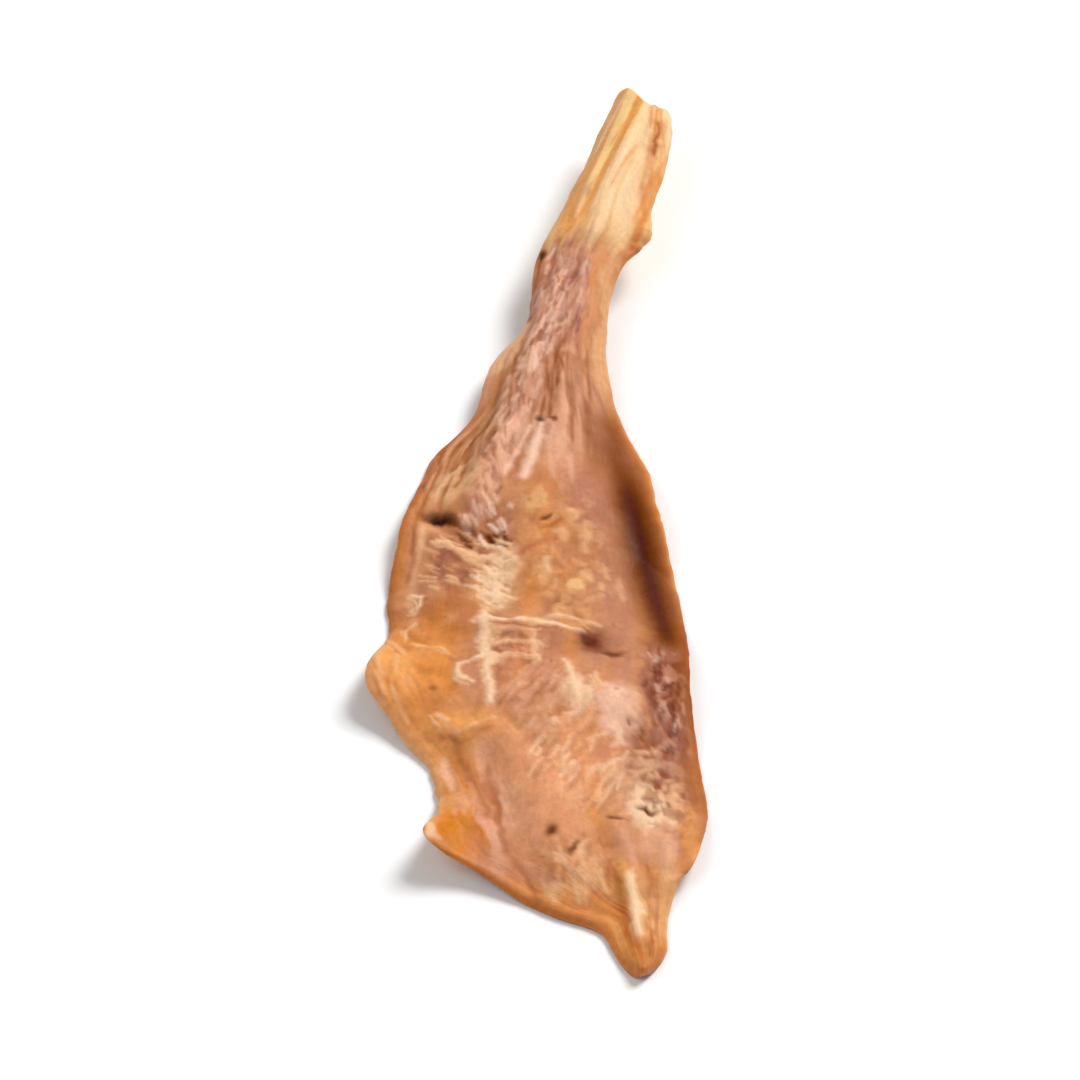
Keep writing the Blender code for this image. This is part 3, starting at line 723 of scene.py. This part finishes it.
def wash(skin, table, parts, fields):
    # colours that follow the crests or gaps of a field in one part of the strip
    for part, name, strength, kind, sign, (low, high) in table:
        paint(skin, name, strength * parts[part] * levelStep(low, high, sign * fields[kind]))


def strandBands(skin, x, y, wobbleX, wobbleY):
    # uneven bands along paths, each with a thinner ragged thread beside it
    f, strand, thread = strandForm, wander["strand"], wander["thread"]
    offset = f["threadOffset"]
    painted = []
    for number, (name, points, spread, rise, strength, *rest) in enumerate(strands.values()):
        ragged = rest[0] if rest else 1.0
        uneven = ragged * layeredNoise(x / f["unevenSize"], y / f["unevenSize"], f["firstSeed"] + number, 2)
        gap = nearPath(x + strand * ragged * wobbleX, y + strand * ragged * wobbleY, points)
        band = hill(gap, 0.0, spread * (f["width"][0] + f["width"][1] * uneven))
        besideX, besideY = x + thread * wobbleY + offset[0], y - thread * wobbleX + offset[1]
        beside = hill(nearPath(besideX, besideY, points), 0.0, f["threadWidth"] * spread)
        band = np.maximum(band, f["threadShare"] * ragged * beside)
        band = band * np.clip(f["strength"][0] + f["strength"][1] * uneven, f["least"], 1.0)
        skin["height"] += rise * band
        painted.append((name, strength * band))
    return painted


def upperFace(x, y, share, width, lengthwise):
    # what the upper face adds to the form, in millimetres, and its colour
    g = surface
    fromRim = {"left": share * width, "right": (1 - share) * width}
    _, fromAxis, _ = acrossLine(x, y, *g["cordAxis"])
    # fibres keep their count, so they spread where the strip widens; in the cord they run nearly straight
    weft = share * g["fibreCount"]
    straightWeft = g["fibreCount"] / 2 - g["density"] * fromAxis
    weft = weft + g["straight"] * levelStep(*g["straightZone"], y) * (straightWeft - weft)
    tiltedX, tiltedY = turned(x, y, g["latticeTurn"])
    wobbleX, wobbleY = (layeredNoise(tiltedX / 1.7, tiltedY / 1.7, seed, 3) for seed in (31, 41))

    def strayed(kind):
        return x + wander[kind] * wobbleX, y + wander[kind] * wobbleY

    wavyX, wavyY = strayed("tissue")
    tissue = tissueNoise(wavyX, wavyY, weft, lengthwise, fromRim["left"])
    intoTrough = hill(nearPath(x, y, trough["line"]), 0.0, trough["calm"])
    onCord = levelStep(36.0, 41.0, y + 4.0 * tissue["fibre"])
    onBlade = levelStep(12.0, 2.0, y)
    parts = {
        "all": 1.0, "cord": onCord, "neck": levelStep(17.0, 24.0, y) * (1 - onCord),
        "fan": between((3.0, 11.0), (27.0, 21.0), y), "blade": onBlade,
        "calm blade": onBlade * (1 - intoTrough),
        "upper blade": onBlade * levelStep(-28.0, -20.0, y),
        "lower blade": onBlade * levelStep(-20.0, -28.0, y),
    }

    # relief: broad bands in the cord and neck, folds that fan out below them, soft lumps in the blade
    drift = 0.5 * layeredNoise(lengthwise / 16.0, share * 2.0, 21)
    fields = {kind: layeredNoise(weft * fine + drift, lengthwise * slow, seed, layers)
              for kind, (fine, slow, seed, layers) in fibreFields.items()}
    fields["even"] = 1.0
    fields["lumps"] = layeredNoise(tiltedX / 2.4, tiltedY / 2.6, 71, 2)
    fields["grain"] = layeredNoise(tiltedX / 0.6, tiltedY / 0.6, 72, 2)
    height = sum(rise * parts[part] * fields[kind] for part, kind, rise in fieldRelief)
    for side, (bead, inset, spread, begins, wave, waveLength, seed, reach) in rimRelief.items():
        waves = layeredNoise(lengthwise / waveLength, fromRim[side] * 0.12, seed, 2)
        height = height + bead * hill(fromRim[side], inset, spread) * levelStep(*begins, y)
        height = height + wave * waves * np.exp(-fromRim[side] / reach) * onBlade
    skin = {"height": height, "colour": np.broadcast_to(fromScreen(palette["tan"]), (*x.shape, 3))}

    # streaks along the blade, broad patches of colour, then the bands of the cord and the folds of the fan
    wash(skin, streakWashes, parts, fields)
    for name, area, strength, kind, breakUp in patches.values():
        inside = insidePatch(strayed("patch"), area)
        paint(skin, name, strength * inside * (1 - breakUp * np.clip(0.5 - 1.1 * tissue[kind], 0, 1)))
    wash(skin, bandWashes, parts, fields)

    # patches of tissue, whose crests and gaps follow one noise each
    grown = []
    for area, kind, crest, crestShare, gap, gapShare, rise in weaves.values():
        inside = insidePatch(strayed("weave"), area, 0.6)
        skin["height"] += rise * inside * np.clip(tissue[kind] / 0.45, -1, 1)
        grown.append((gap, gapShare * inside * levelStep(0.02, 0.4, -tissue[kind])))
        grown.append((crest, crestShare * inside * levelStep(0.0, 0.34, tissue[kind])))

    # strokes, strands, creases and spots
    grown = grown + drawStrokes(skin, x, y) + strandBands(skin, x, y, wobbleX, wobbleY)
    # painted shade along each crease and a wider russet beside it
    for points, spread, depth, name, strength in creases.values():
        gap = nearPath(wavyX, wavyY, points)
        band = hill(gap, 0.0, spread) * (0.8 + 0.6 * tissue["cloud"])
        skin["height"] -= depth * band
        grown.append((name, strength * band))
        grown.append(("russet", 0.35 * strength * hill(gap, 0.0, 2.2 * spread)))
    for area, depth, name, strength in spots.values():
        inside = insidePatch(strayed("spot"), area, 0.8)
        skin["height"] -= depth * inside
        grown.append((name, strength * inside))

    # the trough is smoother; valleys get painted shade and crests painted highlights, darker and lighter than
    # the skin around them
    skin["height"] *= 1 - trough["reliefLost"] * intoTrough
    rise = (skin["height"] - blurred(skin["height"], 4, 5)) * (1 - trough["shadingLost"] * intoTrough)
    wash(skin, shadeAndHighlightWashes, parts, {"rise": rise})
    for name, cover in grown:
        paint(skin, name, cover * (1 - trough["grownLost"] * intoTrough))

    # painted shade in the trough by the right rim, then the rims, two of whose rows are painted highlights
    nearTrough = nearPath(strayed("trough")[0], y, trough["line"])
    paint(skin, "brown", trough["wideShade"] * hill(nearTrough, 0.0, trough["wide"]))
    core = trough["narrowShade"] * levelStep(*trough["narrowZone"], y)
    paint(skin, "troughShade", core * hill(nearTrough, 0.0, trough["narrow"]))
    clouds = np.clip(0.5 + tissue["cloud"], 0, 1)
    for side, name, strength, inset, spread, begins, ends, broken in rimShades:
        cover = strength * hill(fromRim[side], inset, spread) * between(begins, ends, y)
        paint(skin, name, cover * (1 + broken * (clouds - 1)))
    return skin


def undersideFace(x, y, share, lengthwise):
    # the underside: coarse fibres and shallow lumps, with broad clouds of colour
    f = undersideForm
    drift = f["drift"] * layeredNoise(lengthwise / 8.0, share * 3.0, 81)
    threads = layeredNoise(share * f["count"] + drift, lengthwise * 0.07, 82, 3)
    cloud = layeredNoise(x / 4.5, y / 7.0, 83, 3)
    height = f["threads"] * threads + f["lumps"] * layeredNoise(x / 1.5, y / 2.0, 84, 3)
    skin = {"height": height, "colour": np.broadcast_to(fromScreen(palette["tan"]), (*x.shape, 3))}
    fields = {"even": 1.0, "cloud": cloud, "threads": threads}
    wash(skin, undersideWashes, {"all": 1.0, "cord": levelStep(*f["cordZone"], y)}, fields)
    return skin


def roundness(gap, radius):
    # the half circle that a rim is rounded to: the root of one less the square of what is left of the radius
    return np.sqrt(np.clip(1 - (1 - np.clip(gap / radius, 0, 1)) ** 2, 0, 1))


def makeStrip():
    g, s = surface, strip
    along, narrowing, across = stripGrid()
    x, y, share, width, lengthwise = stripPlan(along, narrowing, across)
    top, low = slice(0, g["topColumns"]), slice(g["topColumns"], None)
    upperSkin = upperFace(*[part[:, top] for part in (x, y, share, width, lengthwise)])
    lowerSkin = undersideFace(*[part[:, low] for part in (x, y, share, lengthwise)])

    thick = thicknessAt(y, share)
    floorSide = np.maximum(middleHeight(x, y, share, width) - thick / 2, 0.0)
    middle = floorSide + thick / 2
    total = rimsAt(np.array([0.0]))[1]
    gap = np.minimum(np.minimum(across, 1 - across) * width * narrowing, total - lengthwise)
    half = roundness(gap, s["rimThickness"] / 2) * thick / 2
    fade = levelStep(*g["rimFade"], gap)
    z = middle.copy()
    relief = sumOfFolds(s["relief"], x[:, top], y[:, top]) + upperSkin["height"]
    z[:, top] += half[:, top] + fade[:, top] * relief
    lowRelief = np.minimum(lowerSkin["height"], g["undersideLimit"])
    lowRelief = lowRelief * levelStep(*g["floorFade"], floorSide[:, low])
    z[:, low] += fade[:, low] * lowRelief - half[:, low]
    rings = np.stack((x, y, np.maximum(z, 0.0)), axis=-1)

    # the cut face: the first ring drawn in to its middle, with ragged fibre ends
    def capNoise(kind):
        share, size, seed = g[kind]
        return share * layeredNoise(cap[..., 0] / size, cap[..., 2] / size, seed, 3)

    centre = rings[0].mean(axis=0)
    inward = np.linspace(0, 1, g["capRings"] + 1)[1:-1, None]
    cap = centre + (rings[0] - centre) * inward[..., None] ** g["capRun"]
    cap[..., 1] += capNoise("capRags") * np.sin(np.pi * inward)
    ends = np.stack((centre, rings[-1].mean(axis=0)))
    rows, ringSize = len(cap) + len(rings), rings.shape[1]
    points = np.concatenate((cap.reshape(-1, 3), rings.reshape(-1, 3), ends))
    made = meshFrom("tendonStrip", points, *closedTube(rows, ringSize))

    def perPoint(capValues, values):
        # the cap's values, then the rings', and for each end point the mean of the ring next to it
        lasts = np.stack((capValues[0].mean(axis=0), values[-1].mean(axis=0)))
        body = np.concatenate((capValues, values))
        return np.concatenate((body.reshape(-1, body.shape[-1]), lasts))

    # the fibre vector is the place across the fibres, the place along them, and which face it is on
    colour = np.concatenate((upperSkin["colour"], lowerSkin["colour"]), axis=1)
    colour = np.maximum(colour - tendonLook["sheen"], 0.004)
    face = np.where(np.arange(ringSize) < g["topColumns"], 0.0, 9.0) + 0 * x
    fibre = np.stack((share * g["fibreCount"], lengthwise, face), axis=-1)
    # inwards the cut face takes the mean colour of its rim, mottled by the ends of the fibres
    rimMean = colour[0].mean(axis=0)
    capColour = rimMean + (colour[0] - rimMean) * inward[..., None] ** g["colourRun"]
    capColour = capColour * (1 + capNoise("capMottle"))[..., None]
    capFibre = np.stack((2.0 * cap[..., 0], 0 * cap[..., 1], 2.0 * cap[..., 2] + 20.0), axis=-1)
    rgba = np.pad(perPoint(capColour, colour), ((0, 0), (0, 1)), constant_values=1.0)
    addVectors(made, "skinColour", "FLOAT_COLOR", rgba)
    addVectors(made, "fibre", "FLOAT_VECTOR", perPoint(capFibre, fibre))
    print("stage: strip made,", len(made.data.polygons), "faces")
    return made


# Materials

tendonLook = {
    "sheen": 0.012,  # what the gloss adds to every painted colour, in linear light
    "light": 0.905,  # brightness before the threads, grain and clouds
    "lightOf": {"threads": 0.26, "grain": 0.34, "clouds": 0.2},  # how far each takes it up and down
    # noises: scale, detail and roughness, and how much each axis is stretched
    "threads": (1.5, 4.0, 0.6, (1.0, 0.10, 1.0)), "grain": (1.6, 4.0, 0.6), "clouds": (0.6, 3.0, 0.5),
    "saturation": 1.03,
    "roughness": (0.38, 0.52), "grainRange": (0.35, 0.65), "specular": 0.08,
    "bumpDepth": 0.00006, "threadBump": 0.7,
    "subsurface": 0.5, "subsurfaceReach": 0.0007, "subsurfaceColours": (1.0, 0.42, 0.16),
}


class Nodes:
    # short ways to add and join shader nodes in one tree
    def __init__(self, material):
        material.use_nodes = True
        self.tree = material.node_tree
        self.shader = self.tree.nodes["Principled BSDF"]

    def join(self, value, socket):
        if isinstance(value, bpy.types.NodeSocket):
            self.tree.links.new(value, socket)
        else:
            socket.default_value = value

    def math(self, operation, *values):
        node = self.tree.nodes.new("ShaderNodeMath")
        node.operation = operation
        for value, socket in zip(values, node.inputs):
            self.join(value, socket)
        return node.outputs[0]

    def attribute(self, name, output):
        node = self.tree.nodes.new("ShaderNodeAttribute")
        node.attribute_name = name
        return node.outputs[output]

    def noise(self, place, scale, detail, rough, stretch=(1, 1, 1)):
        mapping = self.tree.nodes.new("ShaderNodeMapping")
        mapping.inputs["Scale"].default_value = stretch
        self.join(place, mapping.inputs["Vector"])
        node = self.tree.nodes.new("ShaderNodeTexNoise")
        self.join(mapping.outputs["Vector"], node.inputs["Vector"])
        for name, value in (("Scale", scale), ("Detail", detail), ("Roughness", rough)):
            node.inputs[name].default_value = value
        return node.outputs[0]

    def step(self, value, low, high, outLow, outHigh):
        node = self.tree.nodes.new("ShaderNodeMapRange")
        node.interpolation_type = "SMOOTHSTEP"
        for number, part in enumerate((value, low, high, outLow, outHigh)):
            self.join(part, node.inputs[number])
        return node.outputs[0]


def tendonMaterial():
    look = tendonLook
    material = bpy.data.materials.new("driedTendon")
    n = Nodes(material)
    coordinates = n.tree.nodes.new("ShaderNodeTexCoord")
    millimetres = n.tree.nodes.new("ShaderNodeMapping")
    millimetres.inputs["Scale"].default_value = (1000, 1000, 1000)
    n.join(coordinates.outputs["Object"], millimetres.inputs["Vector"])
    place = millimetres.outputs["Vector"]
    threads = n.noise(n.attribute("fibre", "Vector"), *look["threads"])
    grain = n.noise(place, *look["grain"])

    # brightness: one value, plus what threads, grain and clouds are above or below their middle
    light = look["light"]
    for field, kind in ((threads, "threads"), (grain, "grain"), (n.noise(place, *look["clouds"]), "clouds")):
        light = n.math("MULTIPLY_ADD", n.math("SUBTRACT", field, 0.5), look["lightOf"][kind], light)
    tint = n.tree.nodes.new("ShaderNodeHueSaturation")
    tint.inputs["Saturation"].default_value = look["saturation"]
    n.join(light, tint.inputs["Value"])
    n.join(n.attribute("skinColour", "Color"), tint.inputs["Color"])
    n.join(tint.outputs["Color"], n.shader.inputs["Base Color"])

    n.join(n.step(grain, *look["grainRange"], *look["roughness"]), n.shader.inputs["Roughness"])
    bump = n.tree.nodes.new("ShaderNodeBump")
    bump.inputs["Strength"].default_value = 1.0
    bump.inputs["Distance"].default_value = look["bumpDepth"]
    n.join(n.math("MULTIPLY_ADD", threads, look["threadBump"], grain), bump.inputs["Height"])
    n.join(bump.outputs["Normal"], n.shader.inputs["Normal"])
    n.shader.inputs["Subsurface Weight"].default_value = look["subsurface"]
    n.shader.inputs["Subsurface Radius"].default_value = look["subsurfaceColours"]
    n.shader.inputs["Subsurface Scale"].default_value = look["subsurfaceReach"]
    n.shader.inputs["Specular IOR Level"].default_value = look["specular"]
    return material


# Floor, light and camera

studio = {
    "floorColour": 0.93, "floorSize": 4.0, "worldStrength": 0.30,
    "keyPlace": (0.56, 0.45, 0.86), "keySize": 0.5, "keyPower": 11.6,
    "fillPlace": (-0.6, -0.3, 0.8), "fillSize": 0.8, "fillPower": 3.2,
}
view = {
    # the camera looks down at 45 degrees; a frame 110 mm wide at 0.9 m
    "target": (0.00031, 0.0003, 0.0), "distance": 0.9, "elevation": 45.0, "frameWidth": 0.110, "sensor": 36.0,
}


def makeFloor():
    half = studio["floorSize"] / 2
    mesh = bpy.data.meshes.new("floor")
    corners = [(-half, -half, 0), (half, -half, 0), (half, half, 0), (-half, half, 0)]
    mesh.from_pydata(corners, [], [(0, 1, 2, 3)])
    floor = bpy.data.objects.new("floor", mesh)
    bpy.context.scene.collection.objects.link(floor)
    material = bpy.data.materials.new("paleFloor")
    material.use_nodes = True
    shader = material.node_tree.nodes["Principled BSDF"]
    shader.inputs["Base Color"].default_value = (*[studio["floorColour"]] * 3, 1.0)
    shader.inputs["Roughness"].default_value = 0.7
    shader.inputs["Specular IOR Level"].default_value = 0.1
    mesh.materials.append(material)


def makeLamp(name, place, size, power):
    # a square soft light that faces the origin
    lamp = bpy.data.lights.new(name, "AREA")
    lamp.size, lamp.energy = size, power
    made = bpy.data.objects.new(name, lamp)
    made.location = place
    made.rotation_euler = (-made.location).to_track_quat("-Z", "Y").to_euler()
    bpy.context.scene.collection.objects.link(made)


def makeLights():
    s = studio
    world = bpy.data.worlds.new("studio")
    world.use_nodes = True
    background = world.node_tree.nodes["Background"]
    background.inputs["Color"].default_value = (1.0, 1.0, 1.0, 1.0)
    background.inputs["Strength"].default_value = s["worldStrength"]
    bpy.context.scene.world = world
    makeLamp("key", s["keyPlace"], s["keySize"], s["keyPower"])
    makeLamp("fill", s["fillPlace"], s["fillSize"], s["fillPower"])
    bpy.context.scene.view_settings.view_transform = "Standard"
    bpy.context.scene.view_settings.look = "None"


def makeCamera():
    v = view
    lens = bpy.data.cameras.new("camera")
    lens.sensor_width = v["sensor"]
    lens.lens = v["sensor"] * v["distance"] / v["frameWidth"]
    camera = bpy.data.objects.new("camera", lens)
    angle = math.radians(v["elevation"])
    camera.location = (v["target"][0], v["target"][1] - v["distance"] * math.cos(angle),
                       v["target"][2] + v["distance"] * math.sin(angle))
    camera.rotation_euler = (math.pi / 2 - angle, 0, 0)
    bpy.context.scene.collection.objects.link(camera)
    bpy.context.scene.camera = camera


makeFloor()
makeLights()
makeCamera()
print("stage: floor, light and camera ready")

tendonStrip = makeStrip()
tendonStrip.data.materials.append(tendonMaterial())
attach(tendonStrip, "root")
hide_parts("tendon")
